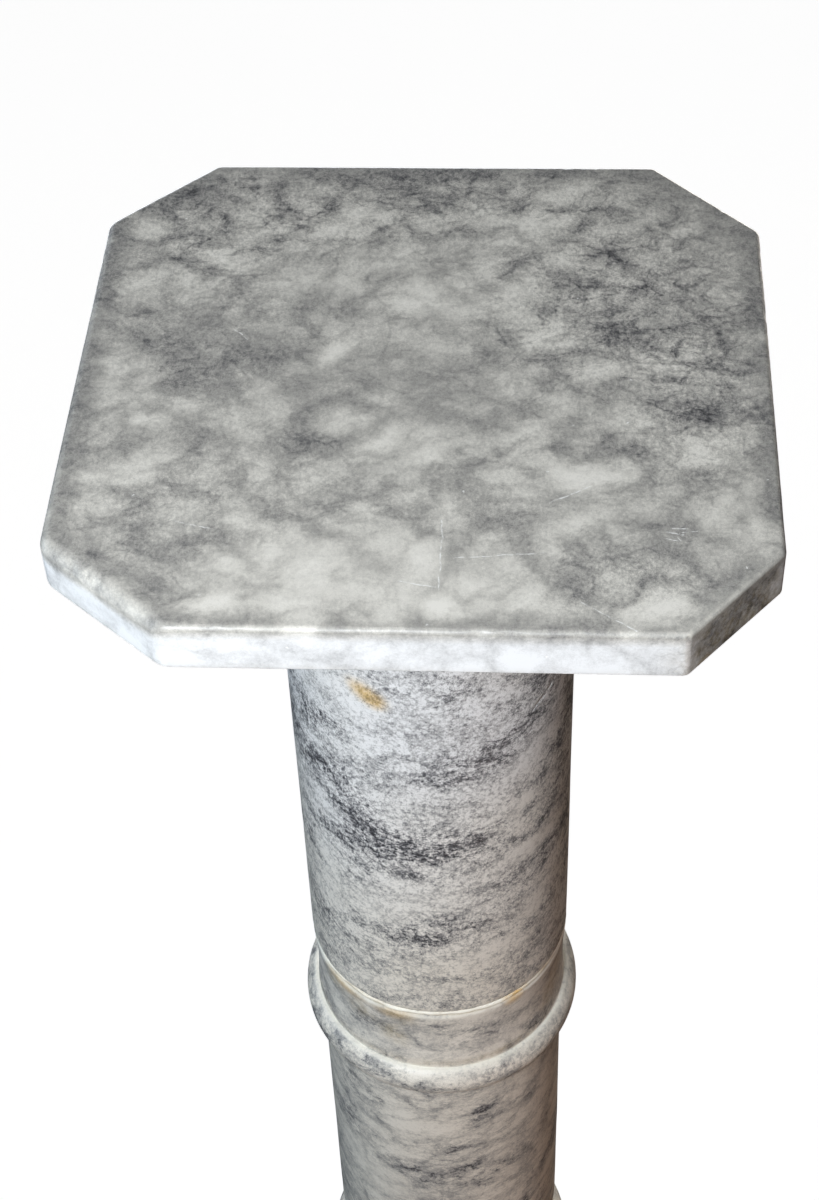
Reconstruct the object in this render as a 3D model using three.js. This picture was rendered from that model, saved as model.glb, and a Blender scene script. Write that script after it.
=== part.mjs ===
// A marble column of pedestal size: a clipped-corner slab on three turned drums, a moulding and a plinth.
// Millimetres, +Z up. The origin is the centre of the plinth's underside, and the front faces -Y.
import * as THREE from 'three';

// Heights of the pieces, from the floor up. The drums stand on mortar beds where a collar begins.
const PLINTH_HEIGHT = 55;
const MOULDING_HEIGHT = 35;
const COLLARED_DRUM_HEIGHT = 273;
const MORTAR_HEIGHT = 2;
const UPPER_DRUM_HEIGHT = 338;
const SLAB_THICKNESS = 22;

// Drums. The upper one is a little thicker than the two with collars.
const UPPER_DRUM_RADIUS = 65.2;
const DRUM_RADIUS = 63.5;
const DRUM_FOOT_EASE = 0.8;

// Collar at the head of a drum: a rounded arris, a slightly waisted band, a narrow ledge and a bead.
// Each collar's head is a little under the radius of the drum that it carries.
const MIDDLE_COLLAR = { headRadius: 65, footRadius: 64.8 };
const LOWER_COLLAR = { headRadius: 63.3, footRadius: 63.3 };
const MORTAR_RECESS = 0.6;
const COLLAR_ARRIS = 4;
const BAND_HEIGHT = 49;
const BAND_WAIST = 1;
const LEDGE_WIDTH = 1.4;
const BEAD_RIM_RADIUS = 71.4;
const BEAD_ARC_RADIUS = 12.2;

// Moulding under the lowest drum: a torus, a fillet and a cove.
const TORUS_FOOT_RADIUS = 84;
const TORUS_RADIUS = 10;
const FILLET_RADIUS = 80;
const FILLET_HEIGHT = 4;

// Top slab: a square with its corners cut off by hand, each cut a little different.
const SLAB_SIDE = 280;
const SLAB_CUTS = {
  frontLeft: { alongX: 50, alongY: 42 },
  frontRight: { alongX: 37, alongY: 43 },
  backRight: { alongX: 44, alongY: 45 },
  backLeft: { alongX: 43, alongY: 42 },
};
const SLAB_CORNER_RADIUS = 7;
const SLAB_EDGE_EASE = 2.5;

// Plinth: the same outline as the slab's, smaller and cut evenly.
const PLINTH_SIDE = 260;
const PLINTH_CUT = { alongX: 40, alongY: 40 };
const PLINTH_CORNER_RADIUS = 5;
const PLINTH_EDGE_EASE = 2;

// How finely the curves are faceted.
const TURNED_SIDES = 52;
const ARC_STEPS = 4;
const BAND_STEPS = 5;
const EDGE_STEPS = 3;

const slabMarble = new THREE.MeshStandardMaterial({ color: 0xb4b5b0, roughness: 0.35, metalness: 0 });
const drumMarble = new THREE.MeshStandardMaterial({ color: 0xa8a9aa, roughness: 0.4, metalness: 0 });
const mortar = new THREE.MeshStandardMaterial({ color: 0xcfc6a8, roughness: 0.85, metalness: 0 });

// A solid turned about the vertical axis. The profile runs from the axis at the foot to the axis at the head.
function turned(points) {
  const geometry = new THREE.LatheGeometry(points, TURNED_SIDES);
  geometry.rotateX(Math.PI / 2);
  return geometry;
}

// A plain drum with a small eased edge at its foot and its head.
function plainDrum(radius, height, ease) {
  return turned([
    new THREE.Vector2(0, 0),
    new THREE.Vector2(radius - ease, 0),
    new THREE.Vector2(radius, ease),
    new THREE.Vector2(radius, height - ease),
    new THREE.Vector2(radius - ease, height),
    new THREE.Vector2(0, height),
  ]);
}

// The band's radius at a share of the way up: straight from foot to head, less a bow that is deepest halfway.
function bandRadius({ footRadius, headRadius }, share) {
  const straight = THREE.MathUtils.lerp(footRadius, headRadius, share);
  return straight - BAND_WAIST * Math.sin(Math.PI * share);
}

// A drum with a collar turned on its head, all from one block.
function collaredDrum(height, collar) {
  const ledgeLevel = height - BAND_HEIGHT;
  const bandHead = height - COLLAR_ARRIS;
  const beadCentre = BEAD_RIM_RADIUS - BEAD_ARC_RADIUS;
  const beadHead = collar.footRadius + LEDGE_WIDTH - beadCentre;
  const beadFoot = DRUM_RADIUS - beadCentre;
  const headAngle = Math.acos(beadHead / BEAD_ARC_RADIUS);
  const footAngle = -Math.acos(beadFoot / BEAD_ARC_RADIUS);
  const rimLevel = ledgeLevel - BEAD_ARC_RADIUS * Math.sin(headAngle);

  const profile = new THREE.Path();
  profile.moveTo(0, 0);
  profile.lineTo(DRUM_RADIUS - DRUM_FOOT_EASE, 0);
  profile.lineTo(DRUM_RADIUS, DRUM_FOOT_EASE);
  profile.absarc(beadCentre, rimLevel, BEAD_ARC_RADIUS, footAngle, headAngle, false);
  for (let step = 0; step < BAND_STEPS; step += 1) {
    const share = step / BAND_STEPS;
    profile.lineTo(bandRadius(collar, share), THREE.MathUtils.lerp(ledgeLevel, bandHead, share));
  }
  profile.absarc(collar.headRadius - COLLAR_ARRIS, bandHead, COLLAR_ARRIS, 0, Math.PI / 2, false);
  profile.lineTo(0, height);
  return turned(profile.getPoints(ARC_STEPS));
}

// A thin bed of mortar on a collar's head, set back a little from the collar's face.
function mortarBed(collar) {
  return plainDrum(collar.headRadius - MORTAR_RECESS, MORTAR_HEIGHT, MORTAR_HEIGHT / 4);
}

// The moulding that spreads the lowest drum onto the plinth.
function baseMoulding() {
  const torusHead = 2 * TORUS_RADIUS;
  const filletHead = torusHead + FILLET_HEIGHT;
  const coveRadius = MOULDING_HEIGHT - filletHead;

  const profile = new THREE.Path();
  profile.moveTo(0, 0);
  profile.lineTo(TORUS_FOOT_RADIUS, 0);
  profile.absarc(TORUS_FOOT_RADIUS, TORUS_RADIUS, TORUS_RADIUS, -Math.PI / 2, Math.PI / 2, false);
  profile.lineTo(FILLET_RADIUS, torusHead);
  profile.lineTo(FILLET_RADIUS, filletHead);
  profile.absarc(FILLET_RADIUS, MOULDING_HEIGHT, coveRadius, -Math.PI / 2, -Math.PI, true);
  profile.lineTo(0, MOULDING_HEIGHT);
  return turned(profile.getPoints(ARC_STEPS));
}

// A square outline with clipped corners, each of its eight angles rounded off.
function clippedSquare(side, cuts, cornerRadius) {
  const half = side / 2;
  const { frontLeft, frontRight, backRight, backLeft } = cuts;
  const angles = [
    new THREE.Vector2(frontLeft.alongX - half, -half),
    new THREE.Vector2(half - frontRight.alongX, -half),
    new THREE.Vector2(half, frontRight.alongY - half),
    new THREE.Vector2(half, half - backRight.alongY),
    new THREE.Vector2(half - backRight.alongX, half),
    new THREE.Vector2(backLeft.alongX - half, half),
    new THREE.Vector2(-half, half - backLeft.alongY),
    new THREE.Vector2(-half, frontLeft.alongY - half),
  ];
  const outline = new THREE.Shape();
  angles.forEach((angle, index) => {
    const before = angles[(index + angles.length - 1) % angles.length];
    const after = angles[(index + 1) % angles.length];
    const toBefore = before.clone().sub(angle).normalize();
    const toAfter = after.clone().sub(angle).normalize();
    const turn = Math.PI - Math.acos(toBefore.dot(toAfter));
    const reach = cornerRadius * Math.tan(turn / 2);
    const start = angle.clone().addScaledVector(toBefore, reach);
    const end = angle.clone().addScaledVector(toAfter, reach);
    if (index === 0) {
      outline.moveTo(start.x, start.y);
    } else {
      outline.lineTo(start.x, start.y);
    }
    outline.quadraticCurveTo(angle.x, angle.y, end.x, end.y);
  });
  outline.closePath();
  return outline;
}

// A slab of a given thickness with eased edges above and below.
function slab(outline, thickness, ease) {
  const geometry = new THREE.ExtrudeGeometry(outline, {
    depth: thickness - 2 * ease,
    bevelThickness: ease,
    bevelSize: ease,
    bevelOffset: -ease,
    bevelSegments: EDGE_STEPS,
    curveSegments: ARC_STEPS,
  });
  geometry.translate(0, 0, ease);
  return geometry;
}

const plinthCuts = {
  frontLeft: PLINTH_CUT,
  frontRight: PLINTH_CUT,
  backRight: PLINTH_CUT,
  backLeft: PLINTH_CUT,
};
const plinthOutline = clippedSquare(PLINTH_SIDE, plinthCuts, PLINTH_CORNER_RADIUS);
const slabOutline = clippedSquare(SLAB_SIDE, SLAB_CUTS, SLAB_CORNER_RADIUS);

// The pieces from the floor up, each standing on the one before it.
const courses = [
  ['plinth', PLINTH_HEIGHT, slab(plinthOutline, PLINTH_HEIGHT, PLINTH_EDGE_EASE), slabMarble],
  ['base_moulding', MOULDING_HEIGHT, baseMoulding(), drumMarble],
  ['lower_drum', COLLARED_DRUM_HEIGHT, collaredDrum(COLLARED_DRUM_HEIGHT, LOWER_COLLAR), drumMarble],
  ['lower_mortar_bed', MORTAR_HEIGHT, mortarBed(LOWER_COLLAR), mortar],
  ['middle_drum', COLLARED_DRUM_HEIGHT, collaredDrum(COLLARED_DRUM_HEIGHT, MIDDLE_COLLAR), drumMarble],
  ['upper_mortar_bed', MORTAR_HEIGHT, mortarBed(MIDDLE_COLLAR), mortar],
  ['upper_drum', UPPER_DRUM_HEIGHT, plainDrum(UPPER_DRUM_RADIUS, UPPER_DRUM_HEIGHT, DRUM_FOOT_EASE), drumMarble],
  ['top_slab', SLAB_THICKNESS, slab(slabOutline, SLAB_THICKNESS, SLAB_EDGE_EASE), slabMarble],
];

const column = new THREE.Group();
let level = 0;
for (const [name, height, geometry, material] of courses) {
  const piece = new THREE.Mesh(geometry, material);
  piece.name = name;
  piece.position.z = level;
  column.add(piece);
  level += height;
}

export default column;
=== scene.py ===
"""Marble column: worn stone surfaces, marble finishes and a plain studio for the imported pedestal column."""

import math

import bpy
import numpy as np
from mathutils import Matrix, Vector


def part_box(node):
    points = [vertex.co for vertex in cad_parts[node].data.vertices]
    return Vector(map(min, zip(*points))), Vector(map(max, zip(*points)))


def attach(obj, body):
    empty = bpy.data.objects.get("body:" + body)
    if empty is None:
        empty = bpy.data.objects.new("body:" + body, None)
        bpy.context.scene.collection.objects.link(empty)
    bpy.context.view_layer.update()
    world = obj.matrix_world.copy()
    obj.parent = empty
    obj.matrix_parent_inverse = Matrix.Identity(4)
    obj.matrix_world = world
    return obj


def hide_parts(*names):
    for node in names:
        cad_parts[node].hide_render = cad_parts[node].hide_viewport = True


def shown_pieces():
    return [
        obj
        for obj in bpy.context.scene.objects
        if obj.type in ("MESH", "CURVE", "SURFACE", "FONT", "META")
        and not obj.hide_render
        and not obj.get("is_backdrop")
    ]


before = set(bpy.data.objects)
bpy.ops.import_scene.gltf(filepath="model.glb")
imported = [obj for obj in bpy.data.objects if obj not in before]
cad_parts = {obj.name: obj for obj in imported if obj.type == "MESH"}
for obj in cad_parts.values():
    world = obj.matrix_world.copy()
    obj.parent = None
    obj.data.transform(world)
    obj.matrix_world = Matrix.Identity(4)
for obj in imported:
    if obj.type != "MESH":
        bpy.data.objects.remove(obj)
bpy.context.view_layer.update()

bl_info = {
    "name": "Marble column",
    "version": (1, 0, 0),
    "blender": (4, 5, 0),
    "location": "View3D > Sidebar > Column",
    "description": "Builds a worn marble pedestal column around its solids",
    "category": "Object",
}

MM = 0.001
BODY = "root"

# The photograph's frame and the camera that was fitted to it.
FRAME_HEIGHT_PX = 1200
FOCAL_PX = 2319.5
SENSOR = 36.0
CAMERA_AZIMUTH = 4.67
CAMERA_ELEVATION = 46.56
CAMERA_ROLL = -2.49
CAMERA_DISTANCE = 1026.8 * MM
CAMERA_TARGET = (-8.5 * MM, 0.0, 868.1 * MM)

# How finely the surfaces are cut.
TURNED_SIDES = 256
WALL_STEP = 2.5 * MM
SLAB_STEP = 1.5 * MM
SLAB_FOOT_RINGS = 12
SLAB_FOOT_EDGE_RINGS = 6
SLAB_SIDE_RINGS = 12
SLAB_EDGE_RINGS = 14
SLAB_FACE_RINGS = 64
SLAB_ANGLE_STEPS = 14

# Over how many rings the slab's masks fade, its wear and painted edge highlight fade from the middle of the
# upper edge, and its side's unevenness dies out. Then how far up its side it is darkened towards its foot.
SLAB_FADE_RINGS = 4
SLAB_WORN_RINGS = 9
SLAB_UNEVEN_RINGS = 8
DARKENED_FOOT = 4 * MM

# The rings round an axis leave a small hole of this radius, which a fan of faces closes.
HUB = 8 * MM

# Rounding of a drum's foot and head, and of the foot of a drum with a collar.
UPPER_DRUM_EASE = 1.0 * MM
COLLARED_DRUM_EASE = 0.8 * MM

# Slab outline in mm: the cut of each corner along X and Y, the radius of each angle and of each upper edge.
SLAB_CUTS = ((50, 42), (37, 43), (44, 45), (43, 42))
SLAB_ANGLE_RADII = (9, 4, 5, 6, 4, 6, 7, 11)
SLAB_EDGE_RADII = (2.4, 2.0, 2.2, 2.4, 2.4, 3.0, 4.2, 6.5)
PLINTH_CUTS = ((40, 40),) * 4
PLINTH_ANGLE_RADII = (5,) * 8
PLINTH_EDGE_RADII = (2,) * 8

# Clouds in the slab's stone: x, y, half length, half width in mm, turn in degrees, strength.
SLAB_DARK_CLOUDS = (
    (-76, 16, 62, 30, -12, 0.6), (-112, 28, 34, 18, -35, 0.5), (-95, 0, 16, 12, -40, 0.45),
    (-58, 5, 22, 15, 0, 0.55), (-88, -5, 22, 12, 30, 0.5), (-48, -28, 30, 24, 0, 0.6),
    (-38, -40, 20, 11, 0, 0.5), (-25, -12, 24, 15, 0, 0.5), (-85, -35, 20, 15, 20, 0.4),
    (-100, -68, 20, 15, 0, 0.45), (-48, -82, 10, 26, 0, 0.5), (-30, -58, 20, 12, 0, 0.35),
    (-72, -98, 30, 10, 25, 0.4), (-88, -118, 20, 12, 45, 0.5), (62, 62, 20, 32, 0, 0.35),
    (55, 28, 15, 18, 0, 0.55), (95, 68, 38, 20, 0, 0.25), (98, 30, 26, 24, 0, 0.55),
    (72, 95, 12, 26, 0, 0.5), (47, -17, 10, 8, 0, 0.6), (82, -40, 15, 11, 0, 0.45),
    (112, -22, 16, 26, 20, 0.3), (30, -72, 24, 30, 0, 0.4), (104, -92, 12, 20, 0, 0.45),
    (90, -116, 36, 15, -15, 0.45), (55, -122, 15, 9, 0, 0.35), (-120, 112, 26, 15, 40, 0.55),
    (-134, 55, 12, 20, 0, 0.5), (-15, 132, 75, 12, 0, 0.45), (-70, 118, 45, 12, 0, 0.4),
    (-100, 85, 26, 12, 10, 0.4), (-55, 42, 20, 9, 0, 0.35), (-35, 40, 18, 10, 0, 0.4),
    (12, 85, 18, 12, 0, 0.4), (-12, 88, 18, 12, 0, 0.35), (40, 75, 24, 12, -15, 0.45),
    (105, 110, 24, 15, -20, 0.45), (20, 0, 45, 15, 0, 0.3), (18, -30, 9, 6, 0, 0.4), (0, -88, 9, 7, 0, 0.4),
)
SLAB_PALE_CLOUDS_AND_LIGHT = (
    (20, 60, 110, 75, 0, 0.28), (-42, 9, 22, 12, 0, 0.7), (-55, 62, 30, 15, 0, 0.5),
    (-72, 106, 20, 12, 0, 0.45), (-90, 72, 15, 10, 0, 0.4), (30, 50, 36, 20, 20, 0.45),
    (84, 4, 20, 12, 0, 0.75), (80, -14, 15, 12, 0, 0.55), (98, -32, 18, 12, 0, 0.5),
    (-102, -54, 20, 13, 0, 0.6), (-85, -88, 24, 15, 0, 0.5), (-60, -80, 14, 18, 0, 0.45),
    (-118, -5, 20, 20, 0, 0.45), (-112, -25, 26, 12, 0, 0.45), (-8, -55, 18, 20, 0, 0.4),
    (60, -62, 30, 18, 0, 0.45), (70, -85, 36, 18, 0, 0.35), (-40, -115, 50, 20, 0, 0.4),
    (10, -120, 36, 15, 0, 0.4), (-122, -92, 18, 18, 0, 0.45), (125, -75, 15, 30, 0, 0.45),
    # The last patch is painted light: a broad pale band along the front of the top face.
    (45, 90, 24, 15, 0, 0.35), (120, 85, 15, 24, 0, 0.35), (0, -140, 190, 50, 0, 0.5),
)

# Where the slab's veins are crisp, in the same terms.
SLAB_VEINED = (
    (80, 50, 80, 80, 0, 0.5), (105, -15, 45, 70, 0, 0.4), (75, -115, 60, 30, 0, 0.3),
    (-90, 90, 70, 60, 0, 0.35), (0, 115, 140, 40, 0, 0.35), (-90, -80, 50, 40, 0, 0.15),
    (-10, -115, 110, 40, 0, -0.3), (-20, -20, 80, 50, 0, -0.15),
)

# Clouds round the drums, and painted shade on the upper drum: degrees from the front towards +X, then height,
# half length and half height in mm, turn in degrees and strength.
UPPER_DRUM_CLOUDS_AND_SHADE = (
    (0, 775, 60, 20, 3, 0.75), (-52, 762, 30, 12, 5, 0.6), (-50, 838, 32, 12, 8, 0.45),
    (-48, 808, 40, 16, 0, 0.45), (-28, 786, 20, 16, 20, 0.55), (20, 830, 40, 12, 22, 0.6),
    (-4, 706, 60, 10, 14, 0.6), (8, 880, 16, 12, 0, 0.5), (55, 745, 40, 10, 12, 0.3),
    (-10, 748, 40, 8, 0, 0.35), (40, 690, 40, 14, 10, 0.35), (-60, 690, 36, 14, -8, 0.4),
    (110, 800, 70, 24, 10, 0.6), (170, 760, 60, 18, -8, 0.6), (-120, 820, 70, 22, 6, 0.6),
    (-150, 700, 60, 16, 10, 0.5), (130, 690, 60, 14, -10, 0.5), (150, 900, 80, 24, 5, 0.5),
    (-100, 920, 70, 20, -8, 0.5), (40, 930, 70, 20, 10, 0.5), (-60, 848, 40, 9, -25, 0.6),
    (-54, 812, 46, 9, -28, 0.6), (-40, 788, 40, 9, -25, 0.45), (62, 800, 30, 8, 35, 0.6),
    (58, 768, 34, 8, 30, 0.55), (60, 732, 36, 9, 25, 0.6), (38, 842, 40, 8, 25, 0.45),
    (-64, 730, 36, 9, -20, 0.5), (-20, 855, 40, 24, 0, -0.15), (-15, 725, 50, 14, 8, -0.4),
    # Painted shade: the patch at 54 degrees darkens the right side under the slab, and those at 72, 74 and
    # -74 degrees darken the right and left limbs.
    (20, 680, 50, 14, 0, -0.5), (0, 660, 60, 10, 0, -0.3), (54, 866, 28, 14, 20, 0.55),
    (72, 835, 14, 60, 0, 0.7), (74, 730, 14, 60, 0, 0.6), (-74, 830, 14, 70, 0, 0.35),
    (46, 818, 24, 10, 28, -0.5), (46, 752, 24, 10, 26, -0.5), (46, 700, 26, 12, 20, -0.45),
    (42, 788, 20, 9, 28, -0.4), (-45, 780, 20, 30, 0, -0.15),
)
MIDDLE_DRUM_CLOUDS = (
    (14, 484, 20, 12, 25, 0.75), (-10, 478, 14, 14, 0, 0.6), (5, 512, 14, 8, 10, 0.55),
    (-46, 541, 18, 12, 0, 0.5), (-24, 537, 12, 12, 0, 0.5), (24, 536, 20, 10, 25, 0.55),
    (-56, 495, 18, 26, 10, 0.45), (30, 470, 30, 12, 0, 0.4), (-35, 612, 30, 10, 0, 0.5),
    (55, 602, 26, 10, 5, 0.55), (20, 620, 40, 14, -10, 0.35), (-70, 600, 40, 14, 0, 0.35),
    (120, 500, 60, 24, 10, 0.55), (-130, 470, 70, 22, -8, 0.55), (170, 420, 70, 18, 5, 0.5),
    (-90, 400, 60, 20, 8, 0.45), (40, 410, 60, 18, -6, 0.45), (90, 450, 50, 16, 12, 0.45),
    (160, 610, 60, 16, 0, 0.45), (0, 395, 50, 14, 4, 0.4), (-8, 530, 26, 20, 0, -0.15),
    (-35, 460, 40, 16, 0, -0.4), (0, 606, 900, 48, 0, -0.03), (0, 580, 900, 14, 0, 0.32),
    (-62, 580, 14, 10, 0, 0.7), (-40, 576, 10, 8, 0, 0.5), (20, 575, 12, 6, 0, 0.4),
    (48, 578, 12, 9, 0, 0.7),
)
LOWER_DRUM_CLOUDS = (
    (-20, 200, 60, 18, 8, 0.6), (35, 150, 60, 20, -6, 0.55), (-80, 120, 60, 18, 5, 0.5),
    (90, 210, 60, 20, 10, 0.55), (160, 140, 70, 22, -8, 0.55), (-140, 220, 70, 18, 6, 0.5),
    (10, 105, 60, 12, 4, 0.45), (-40, 335, 50, 12, 0, 0.45), (70, 325, 50, 12, 6, 0.45),
    (180, 330, 60, 12, 0, 0.4), (-110, 320, 50, 12, 0, 0.4), (10, 250, 50, 14, 10, -0.4),
    (-60, 160, 50, 14, 0, -0.4),
)
MOULDING_CLOUDS = (
    (-30, 73, 60, 12, 8, 0.5), (60, 68, 60, 12, -8, 0.45), (150, 74, 70, 12, 4, 0.5),
    (-120, 68, 70, 12, 6, 0.5),
)
PLINTH_CLOUDS = (
    (-70, -90, 60, 26, 12, 0.55), (60, -70, 40, 30, -20, 0.5), (90, 60, 60, 26, 15, 0.55),
    (-80, 70, 50, 30, -10, 0.5), (0, 110, 60, 18, 5, 0.4), (0, -120, 50, 14, 0, -0.4),
    (110, -10, 26, 40, 0, -0.35), (-115, 0, 24, 40, 0, -0.35),
)

# Ochre stains, dirt with some painted shade, and squeezed-out mortar round the drums, in the same terms as
# the drums' clouds.
UPPER_DRUM_STAINS = ((-22, 873, 13, 8, -34, 1.1), (-18, 869, 9, 7, -20, 0.6))
MIDDLE_DRUM_STAINS = (
    (39, 635, 8, 6, 0, 0.8), (-45, 633, 20, 6, 0, 0.7), (-18, 633, 16, 6, 0, 0.7),
    (-10, 571, 24, 5, 0, 0.3),
)
MIDDLE_DRUM_DIRT_AND_SHADE = (
    (-54, 627, 14, 10, 0, 0.9), (-36, 622, 14, 12, 0, 0.8), (-20, 614, 12, 16, 0, 0.9),
    # The patch at 64 degrees is painted shade on the right end of the collar's band.
    (-12, 628, 10, 8, 0, 0.6), (64, 612, 12, 26, 0, 0.6), (-20, 570, 18, 5, 0, 0.5),
    (6, 569, 14, 5, 0, 0.5), (-48, 571, 12, 5, 0, 0.4),
)
MORTAR_STAINS = ((39, 639, 9, 8, 0, 1.2), (-38, 639, 30, 8, 0, 0.2), (58, 639, 14, 8, 0, 0.25))
MORTAR_LUMPS = (
    (-55, 639, 22, 8, 0, 0.7), (-15, 639, 24, 8, 0, 0.9), (36, 639, 12, 8, 0, 1.0),
    (150, 639, 30, 8, 0, 0.8),
)

# Painted shade on the slab's right sides, in the same terms as its clouds: most of it on the front right cut.
SLAB_RIGHT_SHADE = ((122, -119, 44, 20, 49, 1.6), (140, -60, 12, 60, 0, 0.5), (140, 60, 12, 60, 0, 0.4))

# Where the slab's upper edge is rubbed pale, in the same terms.
SLAB_RUBBED = (
    (122, -119, 40, 14, 49, 1.6), (140, -90, 10, 16, 0, 1.4), (100, -140, 12, 8, 0, 1.0),
    (-60, -140, 60, 8, 0, 0.15),
)

# Scratches in the polish, from and to: x and y in mm on the slab, degrees and height in mm on the drum.
SLAB_SCRATCHES = (
    ((17, -103), (50, -99)), ((12, -83), (12, -120)), ((-4, -115), (11, -118)), ((-90, -85), (-72, -90)),
    ((-78, 27), (-72, 20)), ((64, -124), (84, -138)), ((96, -87), (102, -89)), ((98, -85), (104, -86)),
    ((96, -91), (100, -92)), ((101, -88), (107, -87)), ((99, -89), (101, -92)), ((52, -73), (68, -63)),
)
DRUM_SCRATCH = ((46, 848.5), (58.5, 855.5))

# Chips on the slab's edges: x, y and height of the scooping ball's centre, and its radius, in mm. The height
# is taken from a level that lies the rise over the top face.
SLAB_CHIPS = (
    (104.5, -142.4, -1.5, 4.2), (98, -142.2, -0.5, 3.2), (142.0, -100.5, -2.0, 4.0),
    (142.2, -92, -0.6, 3.0), (-84, -142.6, -1.0, 3.8), (-93, -141.6, -0.4, 3.4), (-18, -142.0, -0.2, 2.6),
    (27, -142.2, -0.3, 2.8), (60, -142.0, -0.2, 2.4), (-142.4, 10, -0.4, 3.2), (-60, 142.0, -0.3, 3.0),
    (142.0, 40, -0.2, 2.6), (20, 142.2, -0.4, 2.8), (-142.2, -60, -0.2, 3.0),
)
CHIP_RISE = 1.4 * MM

# Layers of noise: weight, cell and what is added to the seed.
DRUM_UNEVEN = ((0.16 * MM, 45 * MM, 0), (0.05 * MM, 12 * MM, 5))
DRUM_NICKS = ((1, 3.5 * MM, 9), (0.6, 9 * MM, 13))
SLAB_UNEVEN = ((0.35 * MM, 38 * MM, 3), (0.12 * MM, 11 * MM, 5))
SLAB_NICKS = ((1, 3.2 * MM, 41), (0.6, 10 * MM, 43))
SLAB_PATCHES = ((1, 14 * MM, 47), (0.5, 4 * MM, 53))
MORTAR_UNEVEN = ((0.3 * MM, 7 * MM, 0), (0.2 * MM, 2.5 * MM, 3))

# How far a patch's places drift from its plain ellipse, in a broad and a fine pattern.
BROAD_CELL = 30 * MM
FINE_CELL = 9 * MM
FLAT_DRIFT = 9 * MM
ROUND_DRIFT = 8 * MM
FINE_DRIFT = 3 * MM

# The drums are yellowed below this level, more and more over the fade.
PATINA_TOP = 920 * MM
PATINA_FADE = 280 * MM

# Mortar beds: node, how far the mortar bulges, seed. Each runs a little way down over its collar.
MORTAR_BEDS = (("upper_mortar_bed", 0.7 * MM, 191), ("lower_mortar_bed", 0.0, 211))
MORTAR_SPILL = 1.2 * MM

# Odd factors that scramble a place on a lattice into a value.
LATTICE_FACTORS = (73856093, 19349663, 83492791)
SEED_FACTOR = 2654435761
SCRAMBLE_FACTOR = 1274126177

# Finish: depth of the bump, small pits to the metre, and how softly the tone meets its deepest value.
BUMP_DEPTH = 0.5 * MM
PITS_PER_METRE = 95.0
DEEPEST_BLEND = 0.25
HALF = (0.5, 0.5, 0.5)

# Lamps: size in metres, colour, azimuth from the front towards +X and elevation in degrees, then distance and
# height of the aim in metres. All but the top one light the column alone.
LAMPS = {
    "key": (0.5, (0.91, 0.955, 1.0), -18, 31, 1.15, 0.95),
    "sky": (0.9, (0.50, 0.74, 1.0), -92, 5, 1.2, 0.95),
    "fill": (0.5, (1.0, 0.50, 0.26), 38, -14, 0.75, 0.6),
    "side": (0.8, (1.0, 0.94, 0.87), 157, 6, 1.3, 0.55),
    "back": (1.2, (0.90, 0.95, 1.0), -165, 5, 1.6, 0.55),
    "top": (2.4, (1.0, 0.985, 0.955), 0, 90, 1.6, 1.0),
}
FLOOR_REACH = 6.0
WHITE = (1.0, 1.0, 1.0, 1.0)


def lattice_noise(points, cell, seed):
    """A smooth field from -1 to 1: scrambled values on a cubic lattice, blended by a smoothstep."""
    scaled = points.reshape(-1, 3) / cell
    corner = np.floor(scaled).astype(np.int64)
    share = scaled - corner
    share = share * share * (3 - 2 * share)
    total = np.zeros(len(scaled))
    for offset in np.ndindex(2, 2, 2):
        key = corner + np.array(offset)
        value = np.bitwise_xor.reduce(key * np.array(LATTICE_FACTORS), axis=1) ^ seed * SEED_FACTOR
        value = (value ^ (value >> 13)) * SCRAMBLE_FACTOR
        value = ((value ^ (value >> 16)) & 0xFFFF) / 32767.5 - 1
        weight = np.where(np.array(offset, bool), share, 1 - share).prod(axis=1)
        total += weight * value
    return total.reshape(points.shape[:-1])


def layered_noise(points, layers, seed=0):
    """Smooth fields added up. A layer is a weight, a cell and what is added to the seed."""
    return sum(weight * lattice_noise(points, cell, seed + step) for weight, cell, step in layers)


def drifted(points, cell, reach, seed):
    """The points, each moved by up to the reach along every axis by its own smooth field."""
    drift = np.stack([lattice_noise(points, cell, seed + axis) for axis in range(3)], axis=-1)
    return points + reach * drift


def patch_field(across, along, patches):
    """Sum of soft ellipses: each adds its strength times (1 - d^2)^2, where d is 1 on its border."""
    if not patches:
        return np.zeros(across.shape)
    x, y, length, width, turn, strength = np.array(patches, float).T.reshape(6, -1, *(1,) * across.ndim)
    away_x = across - x
    away_y = along - y
    turn = np.radians(turn)
    u = (away_x * np.cos(turn) + away_y * np.sin(turn)) / length
    v = (away_y * np.cos(turn) - away_x * np.sin(turn)) / width
    return (strength * np.clip(1 - u * u - v * v, 0, 1) ** 2).sum(axis=0)


def flat_field(points, patches):
    """A patch field read on plan, at places that have drifted, so that no cloud has a plain edge."""
    moved = drifted(drifted(points, BROAD_CELL, FLAT_DRIFT, 11), FINE_CELL, FINE_DRIFT, 17) / MM
    return patch_field(moved[..., 0], moved[..., 1], patches)


def round_field(points, patches, radius, drift=1.0):
    """A patch field read round the axis. Distances run along the drum's face, the short way round."""
    moved = drifted(drifted(points, BROAD_CELL, drift * ROUND_DRIFT, 23), FINE_CELL, drift * FINE_DRIFT, 29)
    angle = np.arctan2(moved[..., 0], -moved[..., 1])
    total = np.zeros(points.shape[:-1])
    for degrees, *rest in patches:
        away = (angle - math.radians(degrees) + math.pi) % (2 * math.pi) - math.pi
        total += patch_field(away * radius / MM, moved[..., 2] / MM, ((0, *rest),))
    return total


def arc(centre, radius, start, end, steps):
    """Points on a circle about the centre, from one angle to another in degrees."""
    angle = np.radians(np.linspace(start, end, steps))
    return np.stack([centre[0] + radius * np.cos(angle), centre[1] + radius * np.sin(angle)], axis=1)


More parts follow.
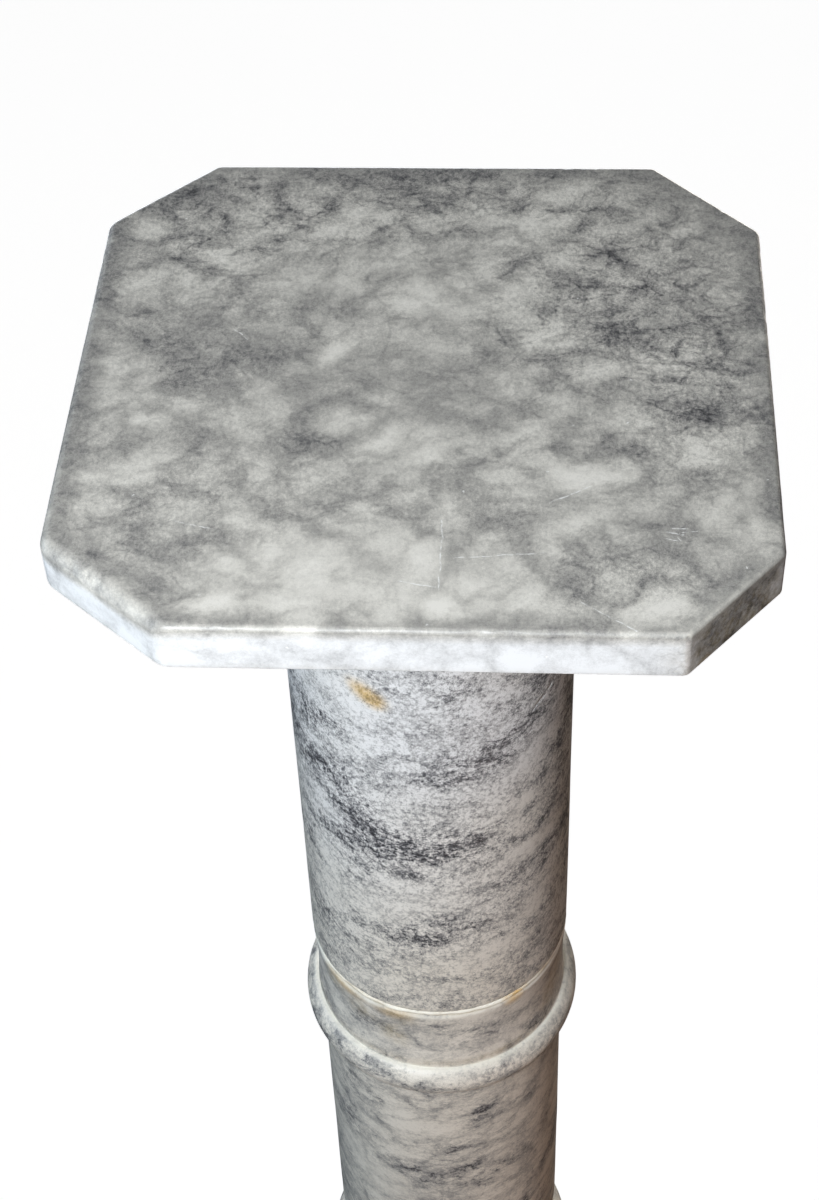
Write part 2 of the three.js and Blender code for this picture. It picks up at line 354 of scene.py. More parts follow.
def run(start, end, step):
    """Points along a straight line, about one step apart."""
    count = max(2, int(math.dist(start, end) / step) + 1)
    return np.linspace(start, end, count)


def joined(*runs):
    """The runs as one profile, without points that repeat."""
    points = np.vstack(runs)
    moved = np.linalg.norm(np.diff(points, axis=0), axis=1) > 1e-6
    return points[np.concatenate([[True], moved])]


def turned(profile):
    """Rings of points and their normals: a profile of radius and height carried round the vertical axis."""
    angle = np.linspace(0, 2 * math.pi, TURNED_SIDES, endpoint=False)
    around = np.stack([np.cos(angle), np.sin(angle)], axis=1)
    slope = np.gradient(profile, axis=0)
    slope /= np.linalg.norm(slope, axis=1)[:, None]
    rings = np.empty((len(profile), TURNED_SIDES, 3))
    rings[..., :2] = profile[:, None, :1] * around
    rings[..., 2] = profile[:, None, 1]
    normals = np.empty_like(rings)
    normals[..., :2] = slope[:, None, 1:] * around
    normals[..., 2] = -slope[:, :1]
    return rings, normals


def skin(rings, foot, head):
    """Vertices and faces of rings from foot to head: quads between rings and a fan to a pole at each end."""
    count, sides = rings.shape[:2]
    vertices = np.vstack([rings.reshape(-1, 3), foot, head])
    column = np.arange(sides)
    after = np.roll(column, -1)
    row = np.arange(count - 1)[:, None] * sides
    quads = np.stack([row + column, row + after, row + sides + after, row + sides + column], axis=-1)
    last = (count - 1) * sides
    foot_fan = np.stack([after, column, np.full(sides, count * sides)], axis=-1)
    head_fan = np.stack([last + column, last + after, np.full(sides, count * sides + 1)], axis=-1)
    return vertices, quads.reshape(-1, 4), np.vstack([foot_fan, head_fan])


def make_piece(node, rings, material, masks):
    """A closed piece in place of a solid, with its masks as attributes on its vertices."""
    foot = (0, 0, rings[0, :, 2].mean())
    head = (0, 0, rings[-1, :, 2].mean())
    vertices, quads, fans = skin(rings, foot, head)
    mesh = bpy.data.meshes.new(node + "_stone")
    mesh.vertices.add(len(vertices))
    mesh.vertices.foreach_set("co", vertices.ravel())
    mesh.loops.add(quads.size + fans.size)
    mesh.loops.foreach_set("vertex_index", np.concatenate([quads.ravel(), fans.ravel()]))
    mesh.polygons.add(len(quads) + len(fans))
    starts = np.concatenate([np.arange(len(quads)) * 4, quads.size + np.arange(len(fans)) * 3])
    mesh.polygons.foreach_set("loop_start", starts)
    mesh.update(calc_edges=True)
    if mesh.validate():
        raise RuntimeError(f"the surface of {node} has faces that Blender can't keep")
    mesh.shade_smooth()
    for name, values in masks.items():
        ends = np.array([values[0].mean(), values[-1].mean()])
        attribute = mesh.attributes.new(name, "FLOAT", "POINT")
        attribute.data.foreach_set("value", np.concatenate([values.ravel(), ends]).astype(np.float32))
    mesh.materials.append(material)
    piece = bpy.data.objects.new(node + "_stone", mesh)
    bpy.context.scene.collection.objects.link(piece)
    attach(piece, BODY)
    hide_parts(node)
    return piece


def bump_at(values, centre, width):
    """A bell that is 1 at the centre and falls to nothing about two widths away."""
    return np.exp(-(((values - centre) / width) ** 2))


def weathered(rings, normals, arris, depth, seed):
    """The rings with the slight unevenness of handwork, and nicks where the arris mask is high."""
    uneven = layered_noise(rings, DRUM_UNEVEN, seed)
    nick = np.clip(layered_noise(rings, DRUM_NICKS, seed) - 0.55, 0, 1)
    return rings + normals * (uneven - arris * nick * depth)[..., None]


def disc(level, inner, outer, steps=5):
    """A flat end of a drum, from one radius to another."""
    return np.stack([np.linspace(inner, outer, steps), np.full(steps, level)], axis=1)


def upper_drum_profile(radius, low, high, ease):
    """A plain drum: a flat foot, a small rounded edge, the wall and a flat head."""
    return joined(
        disc(low, HUB, radius - ease),
        arc((radius - ease, low + ease), ease, -90, 0, 6),
        run((radius, low + ease), (radius, high - ease), WALL_STEP),
        arc((radius - ease, high - ease), ease, 0, 90, 6),
        disc(high, radius - ease, HUB),
    )


def collared_profile(sizes, head_radius, foot_radius, low, high):
    """A drum with a collar: wall, cove into the bead, bead, narrow ledge, waisted band and rounded arris."""
    radius = sizes.drum_radius
    ease = COLLARED_DRUM_EASE
    ledge = high - sizes.band_height
    bead_centre = sizes.bead_rim - sizes.bead_arc
    lip = foot_radius + sizes.ledge_width
    head_angle = math.degrees(math.acos((lip - bead_centre) / sizes.bead_arc))
    foot_angle = math.degrees(math.acos((radius - bead_centre) / sizes.bead_arc))
    rim = ledge - sizes.bead_arc * math.sin(math.radians(head_angle))
    crease = rim - sizes.bead_arc * math.sin(math.radians(foot_angle))
    share = np.linspace(0, 1, 26)
    band_head = high - sizes.arris
    band_radius = foot_radius + (head_radius - foot_radius) * share
    band_radius -= sizes.band_waist * np.sin(math.pi * share)
    band = np.stack([band_radius, ledge + 0.3 * MM + (band_head - ledge - 0.3 * MM) * share], axis=1)
    profile = joined(
        disc(low, HUB, radius - ease),
        arc((radius - ease, low + ease), ease, -90, 0, 5),
        run((radius, low + ease), (radius, crease - 2.4 * MM), WALL_STEP),
        run((radius, crease - 2.0 * MM), (radius, crease - 0.5 * MM), 0.4 * MM),
        arc((bead_centre, rim), sizes.bead_arc, 2 - foot_angle, head_angle - 1.2, 40),
        [(lip - 0.05 * MM, ledge - 0.04 * MM), (lip - 0.2 * MM, ledge), (foot_radius + 0.3 * MM, ledge)],
        [(foot_radius + 0.1 * MM, ledge + 0.08 * MM)],
        band,
        arc((head_radius - sizes.arris, band_head), sizes.arris, 4, 90, 16),
        disc(high, head_radius - sizes.arris, HUB),
    )
    return profile, ledge, crease


def moulding_profile(sizes, low, high):
    """The base moulding: a torus, a fillet and a cove."""
    torus = sizes.torus_radius
    foot = sizes.torus_foot
    fillet = sizes.fillet_radius
    torus_head = low + 2 * torus
    fillet_head = torus_head + sizes.fillet_height
    cove = high - fillet_head
    return joined(
        disc(low, HUB, foot),
        arc((foot, low + torus), torus, -90, 84, 44),
        [(fillet + 0.4 * MM, torus_head - 0.02 * MM), (fillet, torus_head + 0.3 * MM)],
        run((fillet, torus_head + 0.6 * MM), (fillet, fillet_head - 0.3 * MM), 0.8 * MM),
        [(fillet - 0.3 * MM, fillet_head)],
        arc((fillet, high), cove, 266, 180, 22),
        disc(high, fillet - cove - 0.3 * MM, HUB),
    )


def clipped_outline(half, cuts, radii, edges):
    """Places round a clipped square: for each its arc centre, radius and normal, and its upper edge's radius.

    Every angle is an arc about its own centre. Along a side, centre and radius change evenly from one arc to
    the next, so that centre plus radius times normal runs straight."""
    (fl_x, fl_y), (fr_x, fr_y), (br_x, br_y), (bl_x, bl_y) = np.array(cuts) * MM
    corners = np.array([
        (fl_x - half, -half), (half - fr_x, -half), (half, fr_y - half), (half, half - br_y),
        (half - br_x, half), (bl_x - half, half), (-half, half - bl_y), (-half, fl_y - half),
    ])
    radii = np.array(radii) * MM
    sides = np.roll(corners, -1, axis=0) - corners
    lengths = np.linalg.norm(sides, axis=1)
    outward = np.stack([sides[:, 1], -sides[:, 0]], axis=1) / lengths[:, None]
    before = np.roll(outward, 1, axis=0)
    meet = (before + outward) / (1 + (before * outward).sum(axis=1))[:, None]
    centres = corners - radii[:, None] * meet
    anchors, reaches, normals, eases = [], [], [], []
    for index in range(len(corners)):
        after = (index + 1) % len(corners)
        share = np.linspace(0, 1, SLAB_ANGLE_STEPS, endpoint=False)
        start = math.atan2(before[index, 1], before[index, 0])
        end = math.atan2(outward[index, 1], outward[index, 0])
        angle = start + ((end - start) % (2 * math.pi)) * share
        anchors.append(np.repeat(centres[index:index + 1], SLAB_ANGLE_STEPS, axis=0))
        reaches.append(np.full(SLAB_ANGLE_STEPS, radii[index]))
        normals.append(np.stack([np.cos(angle), np.sin(angle)], axis=1))
        eases.append(edges[index - 1] + (edges[index] - edges[index - 1]) * share)
        count = int(lengths[index] / SLAB_STEP)
        share = np.linspace(0, 1, count, endpoint=False)
        anchors.append(centres[index] + (centres[after] - centres[index]) * share[:, None])
        reaches.append(radii[index] + (radii[after] - radii[index]) * share)
        normals.append(np.repeat(outward[index:index + 1], count, axis=0))
        eases.append(np.full(count, edges[index]))
    return np.vstack(anchors), np.concatenate(reaches), np.vstack(normals), np.concatenate(eases) * MM


def slab_rings(outline, low, high, foot_ease):
    """Rings of a slab: out along the underside, round its edge, up the side, round the upper edge and in.

    A ring is centre plus (radius less inset) times normal, so an inset along a quarter circle rounds an edge.
    The edge is the index of the first ring on the upper face."""
    anchors, reaches, normals, eases = outline
    margin = 20
    window = np.hanning(2 * margin + 1)
    eases = np.concatenate([eases[-margin:], eases, eases[:margin]])
    eases = np.convolve(eases, window / window.sum(), "valid")

    def ring(inset, level, share=1.0):
        plan = (anchors + (reaches - inset)[:, None] * normals) * share
        return np.column_stack([plan, np.broadcast_to(level, len(plan))])

    rings = [ring(foot_ease, low, share) for share in np.linspace(0.04, 0.98, SLAB_FOOT_RINGS)]
    turn = np.radians(np.linspace(0, 90, SLAB_FOOT_EDGE_RINGS))
    rings += [ring(foot_ease * (1 - np.sin(t)), low + foot_ease * (1 - np.cos(t))) for t in turn]
    rise = np.linspace(0, 1, SLAB_SIDE_RINGS + 2)[1:-1]
    rings += [ring(0, low + foot_ease + (high - eases - low - foot_ease) * r) for r in rise]
    turn = np.radians(np.linspace(0, 90, SLAB_EDGE_RINGS))
    rings += [ring(eases * (1 - np.cos(t)), high - eases * (1 - np.sin(t))) for t in turn]
    rings += [ring(eases, high, share) for share in np.linspace(0.99, 0.01, SLAB_FACE_RINGS)]
    edge = len(rings) - SLAB_FACE_RINGS
    return np.array(rings), edge


def scooped(rings, chips, top):
    """The rings with shallow scoops: what lies in a chip's ball is pushed out to its uneven surface."""
    rough = 1 + 0.22 * lattice_noise(rings, 2.2 * MM, 71)
    for x, y, height, radius in chips:
        centre = np.array([x * MM, y * MM, top + height * MM + CHIP_RISE])
        away = rings - centre
        distance = np.linalg.norm(away, axis=-1)
        reach = radius * MM * rough
        inside = distance < reach
        scale = np.where(inside, reach / np.maximum(distance, 1e-9), 1.0)
        rings = centre + away * scale[..., None]
    return rings


def add_node(tree, kind, sockets=None, **settings):
    """A node with its settings, and its inputs as values or as links from other nodes."""
    node = tree.nodes.new(kind)
    for name, value in settings.items():
        setattr(node, name, value)
    for key, value in (sockets or {}).items():
        if isinstance(value, bpy.types.NodeSocket):
            tree.links.new(value, node.inputs[key])
        else:
            node.inputs[key].default_value = value
    return node


def maths(tree, operation, first, second=0.0, clamp=False):
    """The result of a sum on one or two values."""
    node = add_node(tree, "ShaderNodeMath", {0: first, 1: second}, operation=operation, use_clamp=clamp)
    return node.outputs[0]


def vector_maths(tree, operation, first, second=(0.0, 0.0, 0.0)):
    """The result of a sum on vectors: a value for a length or a dot product, otherwise a vector."""
    node = add_node(tree, "ShaderNodeVectorMath", {0: first, 1: second}, operation=operation)
    return node.outputs["Value" if operation in ("LENGTH", "DOT_PRODUCT") else "Vector"]


def scaled(tree, vector, factor):
    """A vector times a value."""
    node = add_node(tree, "ShaderNodeVectorMath", {0: vector, "Scale": factor}, operation="SCALE")
    return node.outputs["Vector"]


def fade(tree, value, low, high, at_low=0.0, at_high=1.0):
    """The value mapped smoothly from one range to another and held at both ends."""
    sockets = {"Value": value, "From Min": low, "From Max": high, "To Min": at_low, "To Max": at_high}
    return add_node(tree, "ShaderNodeMapRange", sockets, interpolation_type="SMOOTHSTEP").outputs["Result"]


def noise(tree, vector, scale, detail=2.0, roughness=0.5):
    """A noise texture, features per metre as its scale."""
    sockets = {"Vector": vector, "Scale": scale, "Detail": detail, "Roughness": roughness}
    return add_node(tree, "ShaderNodeTexNoise", sockets)


def shake(tree, vector, reach, scale, detail=2.0, roughness=0.5):
    """A noise vector read at a place. Each of its parts runs between minus and plus half the reach."""
    colour = noise(tree, vector, scale, detail, roughness).outputs["Color"]
    return scaled(tree, vector_maths(tree, "SUBTRACT", colour, HALF), reach)


def mixed(tree, factor, first, second, blend="MIX"):
    """Two colours mixed by a factor."""
    sockets = {0: factor, 6: first, 7: second}
    return add_node(tree, "ShaderNodeMix", sockets, data_type="RGBA", blend_type=blend).outputs[2]


def added(tree, tone, value, weight, middle=0.0):
    """The tone plus a weight times the value's distance from its middle. The weight is a number or a mask."""
    away = maths(tree, "SUBTRACT", value, middle)
    return maths(tree, "ADD", tone, maths(tree, "MULTIPLY", away, weight))


def new_group(name, inputs, outputs):
    """An empty node group with its sockets, each given as a name and a kind."""
    tree = bpy.data.node_groups.new(name, "ShaderNodeTree")
    for label, kind in inputs:
        tree.interface.new_socket(name=label, in_out="INPUT", socket_type="NodeSocket" + kind)
    for label, kind in outputs:
        tree.interface.new_socket(name=label, in_out="OUTPUT", socket_type="NodeSocket" + kind)
    given = tree.nodes.new("NodeGroupInput")
    result = tree.nodes.new("NodeGroupOutput")
    return tree, given.outputs, result.inputs


def ridged(tree, vector, scale, detail, roughness):
    """Ridged noise: a net of crests round smooth hollows."""
    node = noise(tree, vector, scale, detail, roughness)
    node.noise_type = "RIDGED_MULTIFRACTAL"
    node.inputs["Offset"].default_value = 1.0
    node.inputs["Gain"].default_value = 1.5
    return node.outputs["Fac"]


def cell_edges(tree, vector, scale):
    """Distance to the border of the nearest irregular cell, in cells: 0 on the border."""
    sockets = {"Vector": vector, "Scale": scale}
    return add_node(tree, "ShaderNodeTexVoronoi", sockets, feature="DISTANCE_TO_EDGE").outputs["Distance"]


def stone_pattern():
    """The stone's own pattern, read at places that drift.

    Mottle is layered noise. Lumps are soft ridged noise, veins a finer and sharper one, and the web is the
    line where layered noise crosses its middle. The net runs along the borders of cells of two sizes, and
    noises of its own make it swell, thin and break. Pillows are the pale middles of the wide cells. Grain is
    fine noise and flecks are a fine ridged noise, both read where the grain vector says."""
    if "Stone pattern" in bpy.data.node_groups:
        return bpy.data.node_groups["Stone pattern"]
    inputs = (("Vector", "Vector"), ("Grain Vector", "Vector"))
    names = ("Mottle", "Lumps", "Veins", "Web", "Net", "Pillows", "Grain", "Flecks")
    tree, given, result = new_group("Stone pattern", inputs, [(name, "Float") for name in names])
    place = vector_maths(tree, "ADD", given["Vector"], shake(tree, given["Vector"], 0.03, 14))
    place = vector_maths(tree, "ADD", place, shake(tree, given["Vector"], 0.012, 75, 4, 0.6))
    crossing = maths(tree, "SUBTRACT", noise(tree, place, 38, 6, 0.62).outputs["Fac"], 0.5)
    wide = cell_edges(tree, place, 34)
    close = cell_edges(tree, place, 85)
    swell = noise(tree, given["Vector"], 48, 3, 0.6).outputs["Fac"]
    broken = noise(tree, place, 110, 4, 0.65).outputs["Fac"]
    net_width = fade(tree, swell, 0.38, 0.7, 0.02, 0.09)
    net = fade(tree, wide, 0.0, net_width, fade(tree, swell, 0.32, 0.52), 0.0)
    hair_width = fade(tree, swell, 0.40, 0.7, 0.04, 0.17)
    hairs = fade(tree, close, 0.0, hair_width, fade(tree, swell, 0.36, 0.56, 0.0, 0.9), 0.0)
    lines = maths(tree, "MAXIMUM", net, hairs)
    values = {
        "Net": maths(tree, "MULTIPLY", lines, fade(tree, broken, 0.36, 0.62, 0.25, 1.0)),
        "Pillows": fade(tree, wide, 0.0, 0.4),
        "Mottle": noise(tree, place, 22, 4, 0.6).outputs["Fac"],
        "Lumps": fade(tree, ridged(tree, place, 46, 3, 0.55), 0.3, 2.2),
        "Veins": fade(tree, ridged(tree, place, 52, 6, 0.62), 0.8, 2.8),
        "Web": fade(tree, maths(tree, "ABSOLUTE", crossing), 0.0, 0.035, 1.0, 0.0),
        "Grain": noise(tree, given["Grain Vector"], 480, 4, 1.0).outputs["Fac"],
        "Flecks": fade(tree, ridged(tree, given["Grain Vector"], 230, 5, 0.75), 1.0, 2.6),
    }
    for name, value in values.items():
        tree.links.new(value, result[name])
    return tree


def scratch_line():
    """A scratch: 1 on the line from start to end, fading within its width.

    The nearest place on it is found by the dot product, held between the two ends."""
    if "Scratch line" in bpy.data.node_groups:
        return bpy.data.node_groups["Scratch line"]
    inputs = (("Vector", "Vector"), ("Start", "Vector"), ("End", "Vector"), ("Width", "Float"))
    tree, given, result = new_group("Scratch line", inputs, (("Mask", "Float"),))
    along = vector_maths(tree, "SUBTRACT", given["End"], given["Start"])
    away = vector_maths(tree, "SUBTRACT", given["Vector"], given["Start"])
    share = maths(
        tree, "DIVIDE", vector_maths(tree, "DOT_PRODUCT", away, along),
        vector_maths(tree, "DOT_PRODUCT", along, along), clamp=True,
    )
    off = vector_maths(tree, "SUBTRACT", away, scaled(tree, along, share))
    distance = vector_maths(tree, "LENGTH", off)
    tree.links.new(fade(tree, distance, 0.0, given["Width"], 1.0, 0.0), result["Mask"])
    return tree


def attribute(tree, name):
    """One of the piece's own masks."""
    return add_node(tree, "ShaderNodeAttribute", attribute_name=name).outputs["Fac"]


def scratches_on(tree, flat, lines, width):
    """All the scratches of a face as one mask, a little crooked and broken up, from places in metres."""
    total = None
    crooked = vector_maths(tree, "MULTIPLY", shake(tree, flat, 3.0 * MM, 90, 3, 0.6), (1.0, 1.0, 0.0))
    crooked = vector_maths(tree, "ADD", flat, crooked)
    for start, end in lines:
        sockets = {"Vector": crooked, "Start": (*start, 0.0), "End": (*end, 0.0), "Width": width}
        mask = add_node(tree, "ShaderNodeGroup", sockets, node_tree=scratch_line()).outputs["Mask"]
        total = mask if total is None else maths(tree, "MAXIMUM", total, mask)
    worn_and_highlit = fade(tree, noise(tree, flat, 320, 3, 0.7).outputs["Fac"], 0.38, 0.64)
    return maths(tree, "MULTIPLY", total, worn_and_highlit)


def stone_colour(tree, tone, colours):
    """The stone's colour by its tone, from white through greys to the dark of its clouds, veins and painted
    shade.
    """
    ramp = add_node(tree, "ShaderNodeValToRGB", {"Fac": tone})
    stops = (
        (0.0, colours.white_stone), (0.2, colours.pale_stone), (0.48, colours.mid_stone),
        (0.8, colours.dark_stone), (1.0, colours.vein_stone),
    )
    while len(ramp.color_ramp.elements) < len(stops):
        ramp.color_ramp.elements.new(0.5)
    for element, (position, colour) in zip(ramp.color_ramp.elements, stops):
        element.position = position
        element.color = (*colour, 1.0)
    return ramp.outputs["Color"]


def new_material(name):
    """A material, its node tree and its shader."""
    material = bpy.data.materials.new(name)
    material.use_nodes = True
    return material, material.node_tree, material.node_tree.nodes["Principled BSDF"]


def stone_tone(tree, pattern, look):
    """How dark the stone is, from 0 to 1: clouds with their painted light and shade and soft patterns, held
    at the deepest, then fine lines.
    """
    veining = attribute(tree, "veining")
    tone = maths(tree, "MULTIPLY_ADD", attribute(tree, "cloud"), look["cloud"])
    tone.node.inputs[2].default_value = look["base"]
    mottled = maths(tree, "MULTIPLY", fade(tree, veining, 0.0, 0.6, 0.75, 1.15), look["mottle"])
    tone = added(tree, tone, pattern["Mottle"], mottled, 0.5)
    tone = added(tree, tone, pattern["Lumps"], look["lumps"], 0.5)
    tone = added(tree, tone, pattern["Pillows"], -look["pillows"], 0.5)
    tone = maths(tree, "SMOOTH_MIN", tone, look["deepest"])
    tone.node.inputs[2].default_value = DEEPEST_BLEND
    tone = added(tree, tone, pattern["Veins"], maths(tree, "MULTIPLY", veining, look["veins"]))
    tone = added(tree, tone, pattern["Web"], maths(tree, "MULTIPLY", veining, look["web"]))
    netted = maths(tree, "MULTIPLY", maths(tree, "ADD", veining, 0.12), look["net"])
    tone = added(tree, tone, pattern["Net"], netted)
    shaded = maths(tree, "MULTIPLY", tone, veining)
    flecked = fade(tree, shaded, 0.05, 0.6, look["pale_flecks"], look["flecks"])
    tone = added(tree, tone, pattern["Flecks"], flecked)
    grained = maths(tree, "MULTIPLY", fade(tree, veining, 0.0, 0.8, 0.38, 1.0), look["grain"])
    tone = added(tree, tone, pattern["Grain"], grained, 0.5)
    return maths(tree, "ADD", tone, 0.0, clamp=True)


def bruise_mask(tree, place, look, scratches, drum_radius):
    """Mask of the small pits and of the scratches, which are measured round a drum's face or on plan."""
    shaken = vector_maths(tree, "ADD", place, shake(tree, place, 2.2 * MM, 700, 3, 0.7))
    pits = add_node(tree, "ShaderNodeTexVoronoi", {"Vector": shaken, "Scale": PITS_PER_METRE}).outputs
    drawn = add_node(tree, "ShaderNodeSeparateColor", {0: pits["Color"]}).outputs[0]
    spots = fade(tree, pits["Distance"], 0.02, 0.065, 1.0, 0.0)
    marks = maths(tree, "MULTIPLY", spots, fade(tree, drawn, 0.80, 0.82))
    marks = maths(tree, "MULTIPLY", marks, look["pits"])
    if not scratches:
        return marks
    if drum_radius:
        parts = add_node(tree, "ShaderNodeSeparateXYZ", {0: place}).outputs
        turn = maths(tree, "ARCTAN2", parts["X"], maths(tree, "MULTIPLY", parts["Y"], -1.0))
        around = maths(tree, "MULTIPLY", turn, drum_radius)
        flat = add_node(tree, "ShaderNodeCombineXYZ", {"X": around, "Y": parts["Z"]}).outputs[0]
    else:
        flat = vector_maths(tree, "MULTIPLY", place, (1.0, 1.0, 0.0))
    return maths(tree, "MAXIMUM", marks, scratches_on(tree, flat, scratches, look["scratch_width"]))


def marble(name, colours, look, scratches=(), drum_radius=None):
    """A worn satin marble. The look holds the block's place in the pattern, its stretch and its weights."""
    material, tree, shader = new_material(name)
    place = add_node(tree, "ShaderNodeTexCoord").outputs["Object"]
    mapping = {"Vector": place, "Location": look["offset"], "Rotation": look["tilt"]}
    block = add_node(tree, "ShaderNodeMapping", mapping).outputs["Vector"]
    vector = vector_maths(tree, "MULTIPLY", block, look["stretch"])
    grain_vector = vector_maths(tree, "MULTIPLY", block, look["grain_stretch"])
    sockets = {"Vector": vector, "Grain Vector": grain_vector}
    pattern = add_node(tree, "ShaderNodeGroup", sockets, node_tree=stone_pattern()).outputs
    tone = stone_tone(tree, pattern, look)
    colour = stone_colour(tree, tone, colours)

    yellowed = fade(tree, tone, 0.1, 0.7, 1.0, look["dark_patina"])
    patina = maths(tree, "MULTIPLY", attribute(tree, "patina"), yellowed)
    colour = mixed(tree, patina, colour, (*colours.patina, 1.0), "MULTIPLY")
    rough = noise(tree, place, 260, 4, 0.6).outputs["Fac"]
    # Pale edges: wear, and painted highlight where a rounded arris or edge faces the light.
    worn_and_highlit = maths(tree, "MULTIPLY", attribute(tree, "wear"), fade(tree, rough, 0.25, 0.5), clamp=True)
    colour = mixed(tree, maths(tree, "MULTIPLY", worn_and_highlit, look["wear"]), colour, (*colours.worn_and_highlit_stone, 1.0))
    caught = fade(tree, rough, 0.25, 0.7, 0.2, 1.0)
    # Grime, and painted shade in the creases and on the slab's right sides, multiplied in with the grime
    # tint.
    grime = maths(tree, "MULTIPLY", attribute(tree, "grime"), caught, clamp=True)
    colour = mixed(tree, grime, colour, (*colours.grime, 1.0), "MULTIPLY")
    soaked = fade(tree, pattern["Grain"], 0.25, 0.6, 0.5, 1.0)
    stain = maths(tree, "MULTIPLY", attribute(tree, "stain"), soaked, clamp=True)
    colour = mixed(tree, stain, colour, (*colours.ochre, 1.0), "MULTIPLY")
    marks = bruise_mask(tree, place, look, scratches, drum_radius)
    colour = mixed(tree, maths(tree, "MULTIPLY", marks, 0.9), colour, (*colours.bruise, 1.0))

    roughness = fade(tree, rough, 0.3, 0.75, look["gloss"] - 0.07, look["gloss"] + 0.1)
    dulled = maths(tree, "ADD", maths(tree, "ADD", marks, grime), worn_and_highlit)
    roughness = maths(tree, "ADD", roughness, maths(tree, "MULTIPLY", dulled, 0.25), clamp=True)
    hollows = maths(tree, "MULTIPLY", marks, look["scratch_depth"])
    height = maths(tree, "SUBTRACT", maths(tree, "MULTIPLY", pattern["Grain"], 0.5), hollows)
    height = maths(tree, "ADD", height, maths(tree, "MULTIPLY", pattern["Mottle"], 0.4))
    sockets = {"Strength": look["relief"], "Distance": BUMP_DEPTH, "Height": height}
    bump = add_node(tree, "ShaderNodeBump", sockets)
    tree.links.new(colour, shader.inputs["Base Color"])
    tree.links.new(roughness, shader.inputs["Roughness"])
    tree.links.new(bump.outputs["Normal"], shader.inputs["Normal"])
    shader.inputs["IOR"].default_value = 1.5
    return material


def mortar_finish(colours):
    """A matte cream mortar, mottled with dirt, with golden residue where its stain mask says."""
    material, tree, shader = new_material("Mortar bed")
    place = add_node(tree, "ShaderNodeTexCoord").outputs["Object"]
    lumps = noise(tree, place, 210, 5, 0.65).outputs["Fac"]
    darkening = fade(tree, noise(tree, place, 90, 4, 0.6).outputs["Fac"], 0.45, 0.75, 0.0, 0.6)
    darkening = maths(tree, "ADD", darkening, attribute(tree, "grime"), clamp=True)
    colour = mixed(tree, darkening, (*colours.mortar, 1.0), (*colours.grime, 1.0), "MULTIPLY")
    stain = maths(tree, "MULTIPLY", attribute(tree, "stain"), fade(tree, lumps, 0.3, 0.6), clamp=True)
    colour = mixed(tree, stain, colour, (*colours.ochre, 1.0), "MULTIPLY")
    tree.links.new(colour, shader.inputs["Base Color"])
    tree.links.new(fade(tree, lumps, 0.3, 0.7, 0.65, 0.9), shader.inputs["Roughness"])
    bump = add_node(tree, "ShaderNodeBump", {"Strength": 0.5, "Distance": BUMP_DEPTH, "Height": lumps})
    tree.links.new(bump.outputs["Normal"], shader.inputs["Normal"])
    return material


def length(name, description, default):
    """A size that a user may change, given in millimetres."""
    return bpy.props.FloatProperty(
        name=name, description=description, default=default * MM, unit="LENGTH", precision=4,
    )


def tint(name, description, default):
    """A colour that a user may change."""
    return bpy.props.FloatVectorProperty(
        name=name, description=description, default=default, size=3, min=0.0, max=1.0, subtype="COLOR",
    )


def power(name, description, default):
    """A lamp's power that a user may change."""
    return bpy.props.FloatProperty(name=name, description=description, default=default, min=0.0, unit="POWER")


class ColumnSizes(bpy.types.PropertyGroup):
    """Sizes of the turned and cut stone."""

    drum_radius: length("Drum radius", "Radius of the drums with collars", 63.5)
    collar_head: length("Collar head", "Radius at the head of the middle drum's collar", 65.0)
    collar_foot: length("Collar foot", "Radius at the foot of the middle drum's band", 64.8)
    lower_collar: length("Lower collar", "Radius of the lower drum's collar", 63.3)
    arris: length("Collar arris", "Radius of the rounded arris at a collar's head", 4.0)
    band_height: length("Band height", "From a collar's head down to its ledge", 49.0)
    band_waist: length("Band waist", "How far the band is hollowed", 1.0)
    ledge_width: length("Ledge width", "Width of the flat over the bead", 1.4)
    bead_rim: length("Bead rim", "Radius of the bead at its widest", 71.4)
    bead_arc: length("Bead arc", "Radius of the bead's own section", 12.2)
    torus_foot: length("Torus foot", "Radius of the base torus where it meets the plinth", 84.0)
    torus_radius: length("Torus radius", "Radius of the base torus's section", 10.0)
    fillet_radius: length("Fillet radius", "Radius of the fillet over the torus", 80.0)
    fillet_height: length("Fillet height", "Height of the fillet over the torus", 4.0)
    foot_ease: length("Slab foot edge", "Rounding of the lower edges of the slabs", 0.8)
    nick_depth: length("Nick depth", "Depth of the nicks along worn edges", 0.9)


class ColumnColours(bpy.types.PropertyGroup):
    """Colours of the stone, the mortar, the dirt and the tints of painted shade and highlight."""

    white_stone: tint("White stone", "Lightest knots of the marble", (0.80, 0.805, 0.81))
    pale_stone: tint("Pale stone", "Pale ground of the marble", (0.655, 0.657, 0.655))
    mid_stone: tint("Mid stone", "Grey between the clouds", (0.385, 0.386, 0.388))
    dark_stone: tint("Dark stone", "Blue grey of the clouds", (0.140, 0.143, 0.156))
    vein_stone: tint("Vein stone", "Darkest veins and flecks", (0.045, 0.046, 0.052))
    # Also the colour of the painted highlight on rounded arrises, the ledge and the slab's upper edges.
    worn_and_highlit_stone: tint("Worn stone", "Pale rubbed stone on edges", (0.84, 0.81, 0.72))
    bruise: tint("Bruise", "White bruised stone in scratches and pits", (0.90, 0.89, 0.87))
    mortar: tint("Mortar", "Cream of the mortar beds", (0.86, 0.83, 0.73))
    ochre: tint("Ochre", "Tint of the ochre stains", (0.86, 0.60, 0.26))
    # It also tints painted shade in the creases and on the slab's right sides.
    grime: tint("Grime", "Tint of the dirt in the creases", (0.55, 0.49, 0.38))
    patina: tint("Patina", "Tint of handled and yellowed faces", (1.0, 0.945, 0.84))


